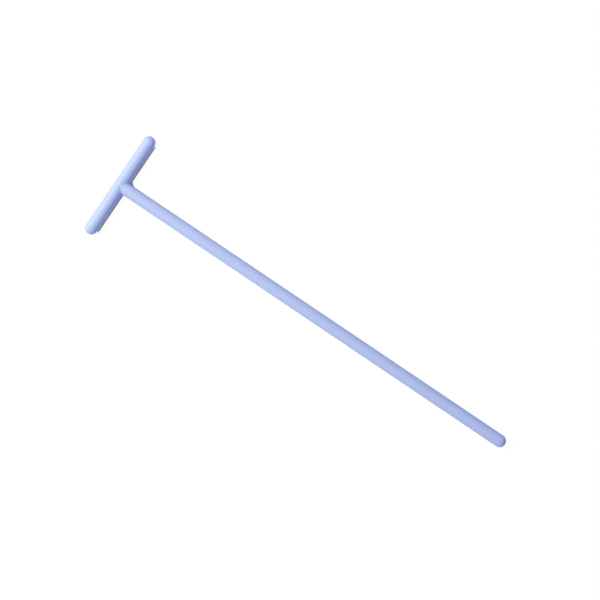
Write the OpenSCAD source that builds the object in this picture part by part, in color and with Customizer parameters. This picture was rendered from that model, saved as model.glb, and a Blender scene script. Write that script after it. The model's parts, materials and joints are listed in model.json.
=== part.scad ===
// Cell spreader: a T-shaped plastic rod that spreads cells over an agar plate.
// It is moulded in one piece: a round bar, a round handle that leaves the middle
// of the bar at a right angle, and a small blend where the two meet.
//
// It lies flat. +X runs along the handle to its tip, +Y along the bar, +Z up.
// The origin is the middle of its outline, on the surface that it lies on.

/* [Bar] */
// Length of the bar, end to end
bar_len = 36; // [20:1:60]
// Diameter of the bar
bar_d = 4.1; // [4.1:0.1:6]

/* [Handle] */
// Length of the whole spreader, from the bar's outer side to the handle's tip
total_len = 146; // [90:1:220]
// Diameter of the handle
handle_d = 4; // [3:0.1:4]

/* [Joint] */
// Radius of the blend between the bar and the handle
blend_r = 0.6; // [0.6:0.1:2]

/* [Hidden] */

plastic = [0.69, 0.76, 0.94];
$fn = 96;

bar_r = bar_d / 2;
handle_r = handle_d / 2;
bar_x = bar_r - total_len / 2; // the bar's axis, along X
tip_x = total_len / 2;         // the handle's tip
axis_z = bar_r;                // height of both axes above the surface

hair = 0.005;     // the blend sinks this far into the bar, and sheathes the handle by it
sheath = 0.1;     // length of the sheath along the handle, past the blend
blend_turns = 64; // steps around the handle
blend_arcs = 8;   // steps from the handle across to the bar

// From the bar's axis to where the plain round handle begins
plain_x = bar_r + blend_r + sheath;

// A round rod along +X from x = 0, with a half-ball at its far end.
// Its near end is flat, or a half-ball too.
module rod(len, r, near_ball = false) {
    near = near_ball ? r : 0;
    rotate([0, 90, 0]) {
        translate([0, 0, near]) cylinder(h = len - r - near, r = r);
        translate([0, 0, len - r]) sphere(r = r);
        if (near_ball) translate([0, 0, r]) sphere(r = r);
    }
}

// The bar, centred on its own axis.
module bar() {
    rotate([0, 0, 90]) translate([-bar_len / 2, 0, 0]) rod(bar_len, bar_r, true);
}

// The handle, from the bar's axis to the tip.
module handle() {
    rod(tip_x - bar_x, handle_r);
}

// The blend is the surface that a ball of radius blend_r leaves as it rolls
// around the corner and touches both rods. Here the bar's axis is Y, the
// handle's is X, and they cross at the origin.

// Distance of the ball's centre from each axis
from_bar = bar_r + blend_r - hair;
from_handle = handle_r + blend_r + hair;

// Centre of the ball when it stands at this angle around the handle
function ball(angle) =
    let (y = from_handle * cos(angle), z = from_handle * sin(angle))
    [sqrt(from_bar * from_bar - z * z), y, z];

// Directions from the ball's centre to the handle's axis and to the bar's
function to_handle(c) = [0, -c.y, -c.z] / from_handle;
function to_bar(c) = [-c.x, 0, -c.z] / from_bar;

// Direction a share t of the way from a to b, turning evenly
function between(a, b, t) =
    let (whole = acos(a * b))
    (sin((1 - t) * whole) * a + sin(t * whole) * b) / sin(whole);

// One line of the blend's skin: along the handle, then across to the bar
function skin_line(angle) =
    let (c = ball(angle), touch = c + blend_r * to_handle(c))
    concat(
        [[plain_x, touch.y, touch.z]],
        [for (j = [0 : blend_arcs]) c + blend_r * between(to_handle(c), to_bar(c), j / blend_arcs)]
    );

module blend() {
    skin = [for (i = [0 : blend_turns - 1]) each skin_line(360 * i / blend_turns)];
    row = blend_arcs + 2;
    centre = len(skin); // the skin closes to the origin, inside the bar

    polyhedron(
        points = concat(skin, [[0, 0, 0]]),
        faces = concat(
            [[for (i = [blend_turns - 1 : -1 : 0]) i * row]],
            [
                for (i = [0 : blend_turns - 1])
                    let (here = i * row, next = (i + 1) % blend_turns * row)
                    each concat(
                        [
                            for (j = [0 : row - 2])
                                each [
                                    [here + j, next + j + 1, here + j + 1],
                                    [here + j, next + j, next + j + 1]
                                ]
                        ],
                        [[centre, here + row - 1, next + row - 1]]
                    )
            ]
        )
    );
}

module spreader() {
    color(plastic)
        translate([bar_x, 0, axis_z]) {
            bar();
            handle();
            blend();
        }
}

spreader();
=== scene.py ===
"""Cell spreader: the finished skin of a T-shaped plastic rod, and a plain stage for it.

The spreader is one moulding. A round bar lies along Y, and a round handle leaves its middle
along +X. Both axes lie in one level plane, which is also where the two halves of the mould met.
The skin is one closed surface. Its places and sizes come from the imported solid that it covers.
"""

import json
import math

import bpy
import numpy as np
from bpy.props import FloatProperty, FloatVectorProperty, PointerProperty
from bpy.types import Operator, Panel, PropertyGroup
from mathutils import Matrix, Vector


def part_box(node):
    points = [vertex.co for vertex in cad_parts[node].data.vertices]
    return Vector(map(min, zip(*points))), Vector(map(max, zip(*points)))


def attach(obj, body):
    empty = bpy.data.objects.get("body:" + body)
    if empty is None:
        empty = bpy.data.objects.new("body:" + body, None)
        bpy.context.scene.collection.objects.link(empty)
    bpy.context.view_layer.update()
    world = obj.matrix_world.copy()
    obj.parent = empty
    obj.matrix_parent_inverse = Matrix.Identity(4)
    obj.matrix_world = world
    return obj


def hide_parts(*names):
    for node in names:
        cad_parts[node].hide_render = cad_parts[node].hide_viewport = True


bl_info = {
    "name": "Cell spreader",
    "version": (1, 0, 0),
    "blender": (4, 5, 0),
    "location": "3D View > Sidebar > Spreader",
    "description": "Moulds the skin of a T-shaped cell spreader and sets a plain stage for it",
    "category": "Object",
}

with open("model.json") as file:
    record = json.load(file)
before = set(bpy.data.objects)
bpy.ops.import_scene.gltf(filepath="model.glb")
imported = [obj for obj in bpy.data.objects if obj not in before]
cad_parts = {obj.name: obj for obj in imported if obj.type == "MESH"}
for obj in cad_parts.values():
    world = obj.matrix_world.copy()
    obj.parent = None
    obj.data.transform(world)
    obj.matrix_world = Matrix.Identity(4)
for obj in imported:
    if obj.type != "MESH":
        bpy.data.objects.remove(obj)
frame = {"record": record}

NODE = "spreader"
CAD_LOW, CAD_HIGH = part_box(NODE)
GRIP = frame["record"]["mounts"][0]["dims"]
MM = 0.001


# ---------------------------------------------------------------------------
# Settings
# ---------------------------------------------------------------------------


class SpreaderSizes(PropertyGroup):
    """Sizes of the moulding. The first four are the solid's own."""

    bar_length: FloatProperty(
        name="Bar length",
        description="Length of the bar, end to end",
        default=CAD_HIGH.y - CAD_LOW.y,
        unit="LENGTH",
    )
    bar_diameter: FloatProperty(
        name="Bar diameter",
        description="Diameter of the bar",
        default=CAD_HIGH.z - CAD_LOW.z,
        unit="LENGTH",
    )
    total_length: FloatProperty(
        name="Total length",
        description="From the bar's outer side to the handle's tip",
        default=2 * CAD_HIGH.x,
        unit="LENGTH",
    )
    handle_diameter: FloatProperty(
        name="Handle diameter",
        description="Diameter of the handle",
        default=2 * GRIP["r_mm"] * MM,
        unit="LENGTH",
    )
    blend_radius: FloatProperty(
        name="Blend radius",
        description="Radius of the ball that would roll round the joint, touching bar and handle",
        default=0.6 * MM,
        unit="LENGTH",
    )
    seam_height: FloatProperty(
        name="Seam height",
        description="How far the mould's parting line stands proud of the plastic",
        default=0.018 * MM,
        unit="LENGTH",
    )
    seam_width: FloatProperty(
        name="Seam width",
        description="Half width of the parting line, where it has a third of its height",
        default=0.07 * MM,
        unit="LENGTH",
    )


class PlasticFinish(PropertyGroup):
    """Finish of the pale blue polystyrene."""

    colour: FloatVectorProperty(
        name="Colour",
        description="Colour of the plastic",
        default=(0.434, 0.518, 0.87),
        subtype="COLOR",
        min=0,
        max=1,
    )
    deep_colour: FloatVectorProperty(
        name="Deep colour",
        description="Colour of the plastic where it flowed a little denser",
        default=(0.418, 0.498, 0.84),
        subtype="COLOR",
        min=0,
        max=1,
    )
    roughness: FloatProperty(
        name="Roughness",
        description="Roughness of the moulded surface",
        default=0.24,
        min=0,
        max=1,
        subtype="FACTOR",
    )


class StageSettings(PropertyGroup):
    """Lamp, room light and camera. The lamp is aimed at the point where the rods' axes cross."""

    key_power: FloatProperty(
        name="Key power",
        description="Power of the soft lamp beyond the bar",
        default=5.8,
        unit="POWER",
    )
    key_colour: FloatVectorProperty(
        name="Key colour",
        description="Colour of the soft lamp",
        default=(1.0, 0.935, 0.62),
        subtype="COLOR",
        min=0,
        max=1,
    )
    key_turn: FloatProperty(
        name="Key turn",
        description="Place of the soft lamp round the upright, from +X",
        default=math.radians(194),
        subtype="ANGLE",
    )
    key_rise: FloatProperty(
        name="Key rise",
        description="Height of the soft lamp as an angle above the floor",
        default=math.radians(51.5),
        subtype="ANGLE",
    )
    key_distance: FloatProperty(
        name="Key distance",
        description="Distance of the soft lamp from the point it is aimed at",
        default=0.65,
        unit="LENGTH",
    )
    key_size: FloatVectorProperty(
        name="Key size",
        description="Width and height of the soft lamp",
        default=(0.65, 0.24),
        size=2,
        unit="LENGTH",
    )
    room_colour: FloatVectorProperty(
        name="Room colour",
        description="Light that reaches the object from all round",
        default=(0.27, 0.325, 0.51),
        subtype="COLOR",
        min=0,
        max=1,
    )
    view_width: FloatProperty(
        name="View width",
        description="Width of what the camera sees, at the height of the rods' axes",
        default=0.1862,
        unit="LENGTH",
    )
    view_middle: FloatVectorProperty(
        name="View middle",
        description="Where the camera looks straight down, from the crossing of the rods' axes",
        default=(66.16 * MM, 1.65 * MM),
        size=2,
        unit="LENGTH",
    )
    lens: FloatProperty(
        name="Lens",
        description="Focal length of the camera in millimetres",
        default=85,
    )
    view_turn: FloatProperty(
        name="View turn",
        description="Turn of the camera about the upright",
        default=math.radians(33.95),
        subtype="ANGLE",
    )


# ---------------------------------------------------------------------------
# Moulding: every function below works with the bar's axis as Y, the handle's
# axis as X and their crossing as the origin
# ---------------------------------------------------------------------------

COLUMNS = 256  # round the handle; a quarter is split evenly between two sides of the patch
SIDE = COLUMNS // 8  # columns from the middle of a side of the patch to its corner
PATCH_REACH = 5.0 * MM  # the patch on the bar reaches this far along it
PATCH_ANGLE = math.radians(110)  # and this far round it
BACK_COLUMNS = 48  # round the rest of the bar
CROWD = 0.3  # share of the even spacing that columns have at the parting line
BLEND_ROWS = 16  # from the handle across to the bar
HANDLE_ROWS = 72  # from the blend to the tip's half-ball
PATCH_ROWS = 18  # from the blend out to the patch's edge
BAR_ROWS = 24  # from the patch to either half-ball
CAP_ROWS = 24  # on each half-ball
HANDLE_EASE = 0.7  # below 1, the handle's rows lie closer near the blend
PATCH_EASE = 1.3  # above 1, the patch's rows lie closer near the blend


def axes_crossing(sizes):
    """The point where the axes of bar and handle cross."""
    bar_r = sizes.bar_diameter / 2
    return np.array([bar_r - sizes.total_length / 2, 0, bar_r])


def crowded(steps):
    """Numbers from -1 to 1 that lie closer near 0: c s + (1 - c) s^3."""
    s = np.linspace(-1, 1, steps + 1)
    return CROWD * s + (1 - CROWD) * s**3


def handle_angles():
    """Angles round the handle, closer near the parting line: u - a sin 2u."""
    u = np.arange(COLUMNS) * (2 * np.pi / COLUMNS)
    return u - (1 - CROWD) / 2 * np.sin(2 * u)


def bar_angles():
    """Angles round the bar from one edge of the patch, over its middle at 0, and round the back."""
    front = PATCH_ANGLE * crowded(2 * SIDE)
    back = np.pi + (np.pi - PATCH_ANGLE) * crowded(BACK_COLUMNS)
    return np.concatenate([front, back[1:-1]])


def ball_end(length, radius, steps):
    """Places and circle radii of a ball end, from its widest ring to just before its pole:
    (length - radius + radius sin t, radius cos t)."""
    t = np.arange(steps) / steps * (np.pi / 2)
    return length - radius + radius * np.sin(t), radius * np.cos(t)


def joint_skin(angle, bar_r, handle_r, blend_r, steps):
    """The blend: a ball of radius blend_r rolls round the joint. Its centre at angle a is
    (sqrt(b^2 - z^2), h cos a, h sin a), with b and h its distances from the two axes. Each row
    turns evenly from the handle's touching point to the bar's."""
    b, h = bar_r + blend_r, handle_r + blend_r
    y, z = h * np.cos(angle), h * np.sin(angle)
    x = np.sqrt(b * b - z * z)
    centre = np.stack([x, y, z], axis=-1)
    to_handle = np.stack([0 * x, -y, -z], axis=-1) / h
    to_bar = np.stack([-x, 0 * y, -z], axis=-1) / b
    whole = np.arccos(np.sum(to_handle * to_bar, axis=-1))[None, :, None]
    t = np.linspace(0, 1, steps + 1)[:, None, None]
    toward = (np.sin((1 - t) * whole) * to_handle + np.sin(t * whole) * to_bar) / np.sin(whole)
    return centre + blend_r * toward, -toward


def handle_skin(first, angle, handle_r, length, rows, cap_rows):
    """The handle from its tip back to the ring where the blend begins: a ball end, then rows
    that slide evenly from the ball's widest ring to first, the blend's own ring."""
    cap_x, cap_r = ball_end(length, handle_r, cap_rows)
    t = (np.arange(1, rows) / rows)[:, None]
    slide = cap_x[0] + (first - cap_x[0]) * t**HANDLE_EASE
    x = np.concatenate([np.repeat(cap_x[::-1, None], len(angle), axis=1), slide])
    r = np.concatenate([cap_r[::-1], np.full(rows - 1, handle_r)])[:, None]
    lean = np.sqrt(np.clip(1 - (r / handle_r) ** 2, 0, 1))
    c, s = np.cos(angle), np.sin(angle)
    points = np.stack([x, r * c, r * s], axis=-1)
    share = r / handle_r
    normals = np.stack([lean + 0 * x, share * c + 0 * x, share * s + 0 * x], axis=-1)
    return points, normals


def on_bar(y, angle, radius):
    """Points and normals on the bar's round side, with angle 0 towards the handle."""
    normals = np.stack([np.cos(angle), 0 * y, np.sin(angle)], axis=-1)
    return normals * radius + np.stack([0 * y, y, 0 * y], axis=-1), normals


def patch_edge():
    """The patch's outline on the bar unrolled, as (y, angle), from the middle of its +Y side
    over the top. Corner to corner, it has as many places as a quarter of the handle."""
    side = PATCH_ANGLE * crowded(2 * SIDE)
    along = np.linspace(1, -1, 2 * SIDE + 1) * PATCH_REACH
    right = np.stack([np.full(2 * SIDE, PATCH_REACH), side[:-1]], axis=-1)
    top = np.stack([along[:-1], np.full(2 * SIDE, PATCH_ANGLE)], axis=-1)
    left = np.stack([np.full(2 * SIDE, -PATCH_REACH), side[:0:-1]], axis=-1)
    under = np.stack([along[:0:-1], np.full(2 * SIDE, -PATCH_ANGLE)], axis=-1)
    return np.roll(np.concatenate([right, top, left, under]), -SIDE, axis=0)


def patch_skin(ring, bar_r, rows):
    """The bar's side from the blend's last ring out to the patch's edge. On the unrolled bar,
    each row is the ring and the edge mixed: (1 - t) ring + t edge."""
    inner = np.stack([ring[:, 1], np.arctan2(ring[:, 2], ring[:, 0])], axis=-1)
    t = (np.arange(1, rows) / rows)[:, None, None] ** PATCH_EASE
    mixed = (1 - t) * inner + t * patch_edge()
    return on_bar(mixed[..., 0], mixed[..., 1], bar_r)


def bar_rows(bar_r, length, rows, cap_rows):
    """Places along the bar and the circle radius at each: a ball end, even rows to the patch,
    the patch's own rows, and the same again to the other end."""
    cap_y, cap_r = ball_end(length / 2, bar_r, cap_rows)
    run = np.linspace(PATCH_REACH, cap_y[0], rows + 1)[1:-1]
    half_y = np.concatenate([run, cap_y])
    half_r = np.concatenate([np.full(len(run), bar_r), cap_r])
    middle = np.linspace(-1, 1, 2 * SIDE + 1) * PATCH_REACH
    y = np.concatenate([-half_y[::-1], middle, half_y])
    r = np.concatenate([half_r[::-1], np.full(len(middle), bar_r), half_r])
    return y, r, len(half_y)


def bar_skin(bar_r, length, rows, cap_rows):
    """The bar without the patch, as a grid of places along it by angles round it."""
    y, r, first = bar_rows(bar_r, length, rows, cap_rows)
    angle = bar_angles()
    share = (r / bar_r)[:, None]
    lean = np.sqrt(np.clip(1 - share**2, 0, 1)) * np.sign(y)[:, None]
    c, s = np.cos(angle), np.sin(angle)
    normals = np.stack([share * c, lean + 0 * c, share * s], axis=-1)
    radius = r[:, None]
    points = np.stack([radius * c, y[:, None] + 0 * c, radius * s], axis=-1)
    return points, normals, first


def closed_quads(index):
    """Quads between the rows of a grid of vertex numbers whose last column meets its first."""
    a, b = index[:-1], index[1:]
    quads = np.stack([a, b, np.roll(b, -1, axis=1), np.roll(a, -1, axis=1)], axis=-1)
    return quads.reshape(-1, 4)


def pole_fan(ring, pole):
    """Triangles from a ring of vertex numbers to the vertex at the pole."""
    return np.stack([ring, np.roll(ring, -1), np.full_like(ring, pole)], axis=-1)


def moulding(sizes):
    """Points, normals, quads and triangles of the whole skin."""
    bar_r, handle_r = sizes.bar_diameter / 2, sizes.handle_diameter / 2
    reach = sizes.total_length - bar_r
    angle = handle_angles()
    blend, blend_n = joint_skin(angle, bar_r, handle_r, sizes.blend_radius, BLEND_ROWS)
    ring = blend[0, :, 0]
    handle, handle_n = handle_skin(ring, angle, handle_r, reach, HANDLE_ROWS, CAP_ROWS)
    patch, patch_n = patch_skin(blend[-1], bar_r, PATCH_ROWS)
    bar, bar_n, first = bar_skin(bar_r, sizes.bar_length, BAR_ROWS, CAP_ROWS)

    sleeve = np.concatenate([handle, blend, patch])
    sleeve_n = np.concatenate([handle_n, blend_n, patch_n])
    sleeve_at = np.arange(sleeve[..., 0].size).reshape(sleeve.shape[:2])
    bar_at = sleeve_at.size + np.arange(bar[..., 0].size).reshape(bar.shape[:2])

    # the patch's edge is the bar's own vertices, in the sleeve's order
    window = bar_at[first:first + 2 * SIDE + 1, :2 * SIDE + 1]
    edge = np.concatenate([window[-1, :-1], window[:0:-1, -1], window[0, :0:-1], window[:-1, 0]])
    edge = np.roll(edge, -SIDE)

    poles = np.array([[reach, 0, 0], [0, sizes.bar_length / 2, 0], [0, -sizes.bar_length / 2, 0]])
    poles_n = poles / np.linalg.norm(poles, axis=1, keepdims=True)
    tip, far, near = sleeve_at.size + bar_at.size + np.arange(3)

    bar_quads = closed_quads(bar_at).reshape(len(bar_at) - 1, -1, 4)
    kept = np.ones(bar_quads.shape[:2], bool)
    kept[first:first + 2 * SIDE, :2 * SIDE] = False
    quads = np.concatenate([
        closed_quads(np.vstack([sleeve_at, edge[None]])),
        bar_quads[kept],
    ])
    fans = np.concatenate([
        pole_fan(sleeve_at[0], tip),
        pole_fan(bar_at[0], near),
        pole_fan(bar_at[-1, ::-1], far),
    ])
    points = np.concatenate([sleeve.reshape(-1, 3), bar.reshape(-1, 3), poles])
    normals = np.concatenate([sleeve_n.reshape(-1, 3), bar_n.reshape(-1, 3), poles_n])

    # the bar's points inside the window are in no face, and are left out
    used = np.unique(np.concatenate([quads.ravel(), fans.ravel()]))
    renumber = np.zeros(len(points), int)
    renumber[used] = np.arange(len(used))
    return points[used], normals[used], renumber[quads], renumber[fans]


def with_seam(points, normals, height, width):
    """The skin with the parting line raised along the level plane: height e^-(z / width)^2."""
    rise = height * np.exp(-((points[:, 2] / width) ** 2))
    return points + normals * rise[:, None]


def new_mesh(name, points, faces):
    """A smooth mesh object at the origin from points and lists of equal faces."""
    mesh = bpy.data.meshes.new(name)
    mesh.from_pydata(points, [], [face for group in faces for face in group.tolist()])
    mesh.polygons.foreach_set("use_smooth", np.ones(len(mesh.polygons), bool))
    mesh.update()
    piece = bpy.data.objects.new(name, mesh)
    bpy.context.scene.collection.objects.link(piece)
    return piece


# ---------------------------------------------------------------------------
# Materials
# ---------------------------------------------------------------------------

FLOW_SCALE = 180  # flow marks per metre, across the handle
FLOW_STRETCH = 0.25  # their scale along the handle, against across it
GRAIN_SCALE = 4000  # grains per metre
GRAIN_STRENGTH = 0.15
GRAIN_HEIGHT = 0.02 * MM
ROUGHNESS_SPREAD = 0.05
PLASTIC_IOR = 1.55
PLASTIC_SPECULAR = 0.08

FLOOR_WHITE = 0.85
FLOOR_GLOW = 0.95  # share of the seen floor that glows instead of taking light
GLOW_STRENGTH = 1.01
# Painted shade: the seen floor is darkened towards SHADE_COLOUR beside the bar's side away from the
# lamp and in the joint's corner, standing in for the contact shadow.
SHADE_COLOUR = (0.158, 0.186, 0.288)
SHADE_REACH = 1.10 * MM  # how near the object has to be to hide light from the floor
SHADE_FULL, SHADE_NONE = 0.90, 0.98  # open shares at which the shade is full, and gone
SHADE_START, SHADE_END = 0.8 * MM, 1.6 * MM  # it fades this far out from the bar's side
SHADE_FADE = 0.6 * MM  # and over this much either way from the end of the straight side
CORNER_ROUND = 2.4 * MM  # radius of the corner shade's edge
CORNER_INNER, CORNER_OUTER = 0.02 * MM, 0.15 * MM  # how far that edge is soft


def fresh_material(name):
    """An empty node material and its links."""
    material = bpy.data.materials.new(name)
    material.use_nodes = True
    material.node_tree.nodes.clear()
    return material, material.node_tree.nodes, material.node_tree.links


def noise(nodes, links, where, scale, detail):
    """A 3D noise on the given coordinates, in grains per metre."""
    node = nodes.new("ShaderNodeTexNoise")
    node.inputs["Scale"].default_value = scale
    node.inputs["Detail"].default_value = detail
    links.new(where, node.inputs["Vector"])
    return node.outputs["Fac"]


def ranged(nodes, links, value, low, high):
    """A value from 0 to 1 spread from low to high."""
    node = nodes.new("ShaderNodeMapRange")
    node.inputs["To Min"].default_value = low
    node.inputs["To Max"].default_value = high
    links.new(value, node.inputs["Value"])
    return node.outputs["Result"]


def fading(nodes, links, value, start, end, low=0.0, high=1.0):
    """A value turned smoothly from low, at start and before, to high, at end and after."""
    node = nodes.new("ShaderNodeMapRange")
    node.interpolation_type = "SMOOTHSTEP"
    for name, number in zip(("From Min", "From Max", "To Min", "To Max"), (start, end, low, high)):
        node.inputs[name].default_value = number
    links.new(value, node.inputs["Value"])
    return node.outputs["Result"]


def worked_out(nodes, links, operation, *values):
    """One Math node on the given values."""
    node = nodes.new("ShaderNodeMath")
    node.operation = operation
    for place, value in enumerate(values):
        links.new(value, node.inputs[place])
    return node.outputs["Value"]


def polystyrene(finish):
    """Pale blue moulded polystyrene: satin, with faint flow marks and a very fine grain."""
    material, nodes, links = fresh_material("pale_blue_polystyrene")
    shader = nodes.new("ShaderNodeBsdfPrincipled")
    out = nodes.new("ShaderNodeOutputMaterial")
    links.new(shader.outputs["BSDF"], out.inputs["Surface"])
    where = nodes.new("ShaderNodeTexCoord").outputs["Object"]

    flow_map = nodes.new("ShaderNodeMapping")
    flow_map.inputs["Scale"].default_value = (FLOW_STRETCH, 1.0, 1.0)
    links.new(where, flow_map.inputs["Vector"])
    flow = noise(nodes, links, flow_map.outputs["Vector"], FLOW_SCALE, 3)
    grain = noise(nodes, links, where, GRAIN_SCALE, 2)

    tint = nodes.new("ShaderNodeMix")
    tint.data_type = "RGBA"
    tint.inputs["A"].default_value = (*finish.colour, 1)
    tint.inputs["B"].default_value = (*finish.deep_colour, 1)
    links.new(flow, tint.inputs["Factor"])
    links.new(tint.outputs["Result"], shader.inputs["Base Color"])

    smoothest, roughest = finish.roughness - ROUGHNESS_SPREAD, finish.roughness + ROUGHNESS_SPREAD
    rough = ranged(nodes, links, flow, smoothest, roughest)
    links.new(rough, shader.inputs["Roughness"])

    bump = nodes.new("ShaderNodeBump")
    bump.inputs["Strength"].default_value = GRAIN_STRENGTH
    bump.inputs["Distance"].default_value = GRAIN_HEIGHT
    links.new(grain, bump.inputs["Height"])
    links.new(bump.outputs["Normal"], shader.inputs["Normal"])

    shader.inputs["IOR"].default_value = PLASTIC_IOR
    shader.inputs["Specular IOR Level"].default_value = PLASTIC_SPECULAR
    return material


def seen_directly(nodes, links):
    """1 for rays from the camera, from a mirror or through glass, and 0 for the rest."""
    path = nodes.new("ShaderNodeLightPath")
    total = path.outputs["Is Camera Ray"]
    for name in ("Is Glossy Ray", "Is Transmission Ray"):
        total = worked_out(nodes, links, "MAXIMUM", total, path.outputs[name])
    return total


def corner_shade(nodes, links, corner):
    """1 on the open floor, falling to 0 in the inner corner that bar and handle both shade.
    The shade there has a round edge: with u and v a place's distances from the lines of the
    bar's side and the handle's, it is where the length of (R - u, R - v), with nothing below
    0, is R."""
    # Painted shade: this corner of the floor is darkened by its place alone.
    place = nodes.new("ShaderNodeTexCoord").outputs["Object"]
    steps = (
        ("SUBTRACT", (*corner, 0)),
        ("ABSOLUTE", None),
        ("MULTIPLY_ADD", (-1, -1, 0)),
        ("MAXIMUM", (0, 0, 0)),
    )
    for operation, value in steps:
        step = nodes.new("ShaderNodeVectorMath")
        step.operation = operation
        links.new(place, step.inputs[0])
        if value:
            step.inputs[1].default_value = value
        if operation == "MULTIPLY_ADD":
            step.inputs[2].default_value = (CORNER_ROUND, CORNER_ROUND, 0)
        place = step.outputs["Vector"]
    reach = nodes.new("ShaderNodeVectorMath")
    reach.operation = "LENGTH"
    links.new(place, reach.inputs[0])
    inner, outer = CORNER_ROUND - CORNER_INNER, CORNER_ROUND + CORNER_OUTER
    return fading(nodes, links, reach.outputs["Value"], inner, outer, 1.0, 0.0)


def contact_shade(nodes, links, corner, straight):
    """1 on the open floor, falling to 0 close beside the bar, past its side that faces away
    from the key lamp, and in the corner beside the handle. It comes from the share of a
    half-ball, turned to the lamp, that the object hides within reach. It ends a little way
    out from the bar, and where the bar's straight side does, straight from its middle."""
    # This darkening is painted into the floor's colour from an occlusion share and the floor's
    # place; the lamp does not cast it.
    side = nodes.new("ShaderNodeCombineXYZ")
    side.inputs["X"].default_value = -1.0
    near = nodes.new("ShaderNodeAmbientOcclusion")
    near.samples = 16
    near.inputs["Distance"].default_value = SHADE_REACH
    links.new(side.outputs["Vector"], near.inputs["Normal"])
    open_floor = fading(nodes, links, near.outputs["AO"], SHADE_FULL, SHADE_NONE)

    where = nodes.new("ShaderNodeSeparateXYZ")
    links.new(nodes.new("ShaderNodeTexCoord").outputs["Object"], where.inputs["Vector"])
    along = worked_out(nodes, links, "ABSOLUTE", where.outputs["Y"])
    limits = (
        (where.outputs["X"], corner[0] + SHADE_START, corner[0] + SHADE_END),
        (along, straight - SHADE_FADE, straight + SHADE_FADE),
    )
    for distance, start, end in limits:
        past = fading(nodes, links, distance, start, end)
        open_floor = worked_out(nodes, links, "MAXIMUM", open_floor, past)
    return worked_out(nodes, links, "MINIMUM", open_floor, corner_shade(nodes, links, corner))


def white_floor(corner, straight):
    """A matt white floor. Where it is seen it glows, so that it is white round the object. It
    keeps the object's soft shadow, and has the dark line of contact_shade beside the bar.
    corner is where the lines of the bar's side and the handle's cross, as (x, y)."""
    material, nodes, links = fresh_material("white_floor")
    matt = nodes.new("ShaderNodeBsdfDiffuse")
    matt.inputs["Color"].default_value = (FLOOR_WHITE, FLOOR_WHITE, FLOOR_WHITE, 1)

    # Painted shade: contact_shade mixes SHADE_COLOUR into the seen floor's colour and glow.
    shade = nodes.new("ShaderNodeMix")
    shade.data_type = "RGBA"
    shade.inputs["A"].default_value = (*SHADE_COLOUR, 1)
    shade.inputs["B"].default_value = (1, 1, 1, 1)
    links.new(contact_shade(nodes, links, corner, straight), shade.inputs["Factor"])
    seen_matt = nodes.new("ShaderNodeBsdfDiffuse")
    glow = nodes.new("ShaderNodeEmission")
    glow.inputs["Strength"].default_value = GLOW_STRENGTH
    links.new(shade.outputs["Result"], seen_matt.inputs["Color"])
    links.new(shade.outputs["Result"], glow.inputs["Color"])

    seen = nodes.new("ShaderNodeMixShader")
    seen.inputs["Fac"].default_value = FLOOR_GLOW
    mix = nodes.new("ShaderNodeMixShader")
    out = nodes.new("ShaderNodeOutputMaterial")
    links.new(seen_matt.outputs["BSDF"], seen.inputs[1])
    links.new(glow.outputs["Emission"], seen.inputs[2])
    links.new(seen_directly(nodes, links), mix.inputs["Fac"])
    links.new(matt.outputs["BSDF"], mix.inputs[1])
    links.new(seen.outputs["Shader"], mix.inputs[2])
    links.new(mix.outputs["Shader"], out.inputs["Surface"])
    return material


def white_room(colour):
    """A world that lights the object with colour and is white where it is seen."""
    world = bpy.data.worlds.new("white_room")
    world.use_nodes = True
    nodes, links = world.node_tree.nodes, world.node_tree.links
    nodes.clear()
    lit = nodes.new("ShaderNodeBackground")
    lit.inputs["Color"].default_value = (*colour, 1)
    white = nodes.new("ShaderNodeBackground")
    white.inputs["Color"].default_value = (1, 1, 1, 1)
    mix = nodes.new("ShaderNodeMixShader")
    out = nodes.new("ShaderNodeOutputWorld")
    links.new(seen_directly(nodes, links), mix.inputs["Fac"])
    links.new(lit.outputs["Background"], mix.inputs[1])
    links.new(white.outputs["Background"], mix.inputs[2])
    links.new(mix.outputs["Shader"], out.inputs["Surface"])
    bpy.context.scene.world = world


# ---------------------------------------------------------------------------
# Stage
# ---------------------------------------------------------------------------

FLOOR_HALF = 3.0
FLOOR_CORNERS = ((-1, -1, 0), (1, -1, 0), (1, 1, 0), (-1, 1, 0))


def soft_lamp(name, centre, turn, rise, distance, size):
    """A soft lamp of this width and height aimed at centre from this distance away, at an
    angle turn round from +X and an angle rise above the floor."""
    level = math.cos(rise)
    away = np.array([level * math.cos(turn), level * math.sin(turn), math.sin(rise)])
    lamp = bpy.data.lights.new(name, "AREA")
    lamp.shape = "ELLIPSE"
    lamp.size, lamp.size_y = size
    holder = bpy.data.objects.new(name, lamp)
    holder.location = centre + distance * away
    holder.rotation_euler = (math.pi / 2 - rise, 0, turn + math.pi / 2)
    bpy.context.scene.collection.objects.link(holder)
    return lamp


def camera_above(centre, stage):
    """A camera that looks straight down at a place beside centre, and sees view_width there."""
    camera_data = bpy.data.cameras.new("camera")
    camera_data.lens = stage.lens
    camera = bpy.data.objects.new("camera", camera_data)
    bpy.context.scene.collection.objects.link(camera)
    height = stage.view_width * camera_data.lens / camera_data.sensor_width
    camera.location = centre + np.array([*stage.view_middle, height])
    camera.rotation_euler = (0, 0, stage.view_turn)
    return camera


# ---------------------------------------------------------------------------
# Operators
# ---------------------------------------------------------------------------


class SPREADER_OT_mould(Operator):
    """Mould the spreader's skin, which stands for the plain solid"""

    bl_idname = "spreader.mould"
    bl_label = "Mould the spreader"

    def execute(self, context):
        sizes = context.scene.spreader_sizes
        points, normals, quads, fans = moulding(sizes)
        points = with_seam(points, normals, sizes.seam_height, sizes.seam_width)
        points += axes_crossing(sizes)
        piece = new_mesh("moulded_spreader", points, (quads, fans))
        piece.data.materials.append(polystyrene(context.scene.plastic_finish))
        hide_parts(NODE)
        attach(piece, "root")
        return {"FINISHED"}


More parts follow.
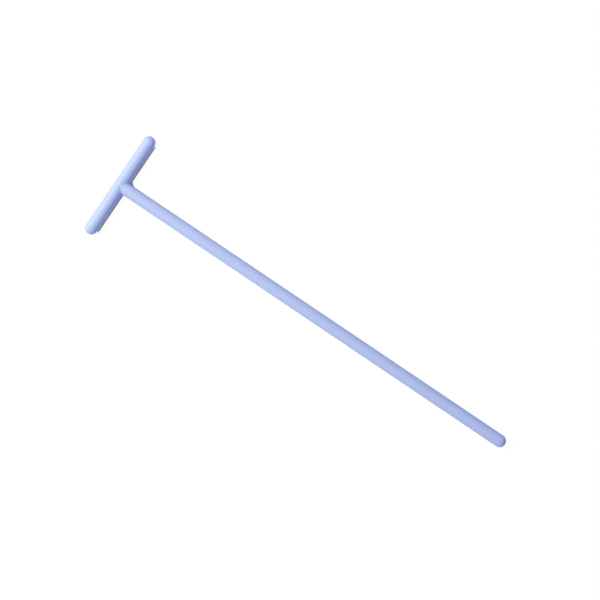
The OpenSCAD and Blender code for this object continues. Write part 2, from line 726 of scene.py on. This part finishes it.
class SPREADER_OT_stage(Operator):
    """Lay the floor and set the lamp, the room light and the camera"""

    bl_idname = "spreader.stage"
    bl_label = "Set the stage"

    def execute(self, context):
        stage = context.scene.stage_settings
        sizes = context.scene.spreader_sizes
        crossing = axes_crossing(sizes)
        corner = (crossing[0] + sizes.bar_diameter / 2, sizes.handle_diameter / 2)
        straight = (sizes.bar_length - sizes.bar_diameter) / 2
        floor_places = np.array(FLOOR_CORNERS) * FLOOR_HALF
        floor = new_mesh("floor", floor_places, (np.array([[0, 1, 2, 3]]),))
        floor.data.materials.append(white_floor(corner, straight))
        white_room(stage.room_colour)

        lamp_place = (stage.key_turn, stage.key_rise, stage.key_distance)
        key = soft_lamp("key", crossing, *lamp_place, stage.key_size)
        key.energy = stage.key_power
        key.color = stage.key_colour
        context.scene.camera = camera_above(crossing, stage)
        context.scene.view_settings.view_transform = "Standard"
        return {"FINISHED"}


class SPREADER_PT_panel(Panel):
    """Settings and steps of the spreader"""

    bl_idname = "SPREADER_PT_panel"
    bl_label = "Cell spreader"
    bl_space_type = "VIEW_3D"
    bl_region_type = "UI"
    bl_category = "Spreader"

    def draw(self, context):
        scene = context.scene
        for group in (scene.spreader_sizes, scene.plastic_finish, scene.stage_settings):
            box = self.layout.box()
            for name in group.__annotations__:
                box.prop(group, name)
        for operator in (SPREADER_OT_mould, SPREADER_OT_stage):
            self.layout.operator(operator.bl_idname)


CLASSES = (
    SpreaderSizes,
    PlasticFinish,
    StageSettings,
    SPREADER_OT_mould,
    SPREADER_OT_stage,
    SPREADER_PT_panel,
)
GROUPS = {
    "spreader_sizes": SpreaderSizes,
    "plastic_finish": PlasticFinish,
    "stage_settings": StageSettings,
}


def register():
    for cls in CLASSES:
        bpy.utils.register_class(cls)
    for name, group in GROUPS.items():
        setattr(bpy.types.Scene, name, PointerProperty(type=group))


def unregister():
    for name in GROUPS:
        delattr(bpy.types.Scene, name)
    for cls in reversed(CLASSES):
        bpy.utils.unregister_class(cls)


def main():
    """Registers the classes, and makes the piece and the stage."""
    register()
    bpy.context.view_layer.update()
    bpy.ops.spreader.mould()
    bpy.ops.spreader.stage()


if __name__ == "__main__":
    main()
